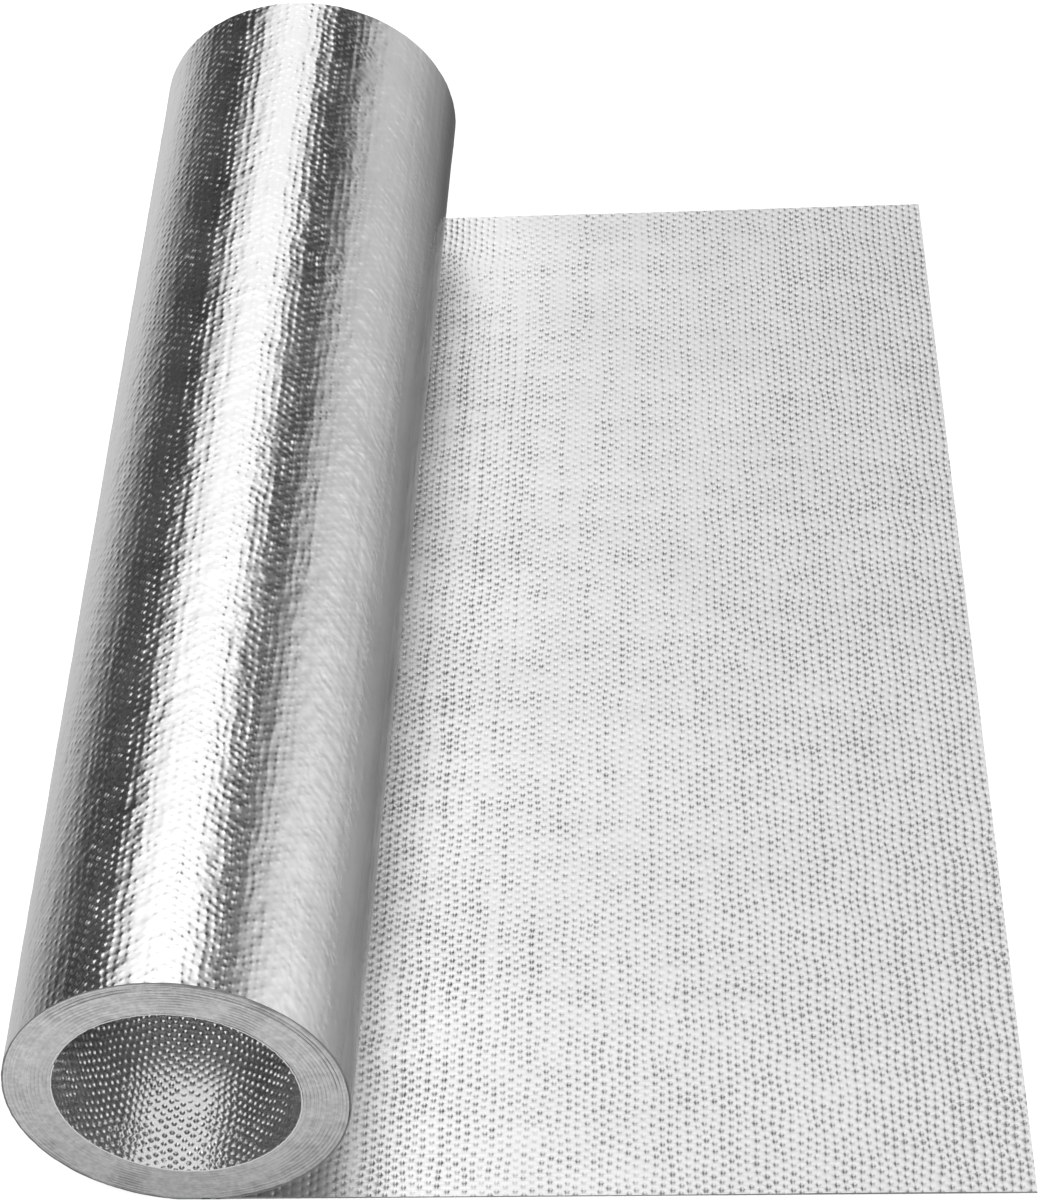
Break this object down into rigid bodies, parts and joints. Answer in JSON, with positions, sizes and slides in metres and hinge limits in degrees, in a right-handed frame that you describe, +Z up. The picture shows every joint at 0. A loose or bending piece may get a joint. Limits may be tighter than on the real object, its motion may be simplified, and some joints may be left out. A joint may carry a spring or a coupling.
{
  "type": "aluminium foil roll",
  "caption": "Coreless roll of dimple-embossed aluminium foil lying on its side, with an open bore and its free end drawn out flat as a tail.",
  "frame": {"origin": "under the middle of the whole outline, on the surface that the roll and its tail lie on", "axes": "+Y along the roll's axis from the near end to the far end, +Z up, +X from the roll towards the cut end of the tail"},
  "size_m": [0.205, 0.3, 0.0697],
  "materials": {
    "foil": "bright rolled foil embossed with small round dimples"
  },
  "bodies": {
    "root": {"foil_web": "foil"}
  },
  "joints": []
}
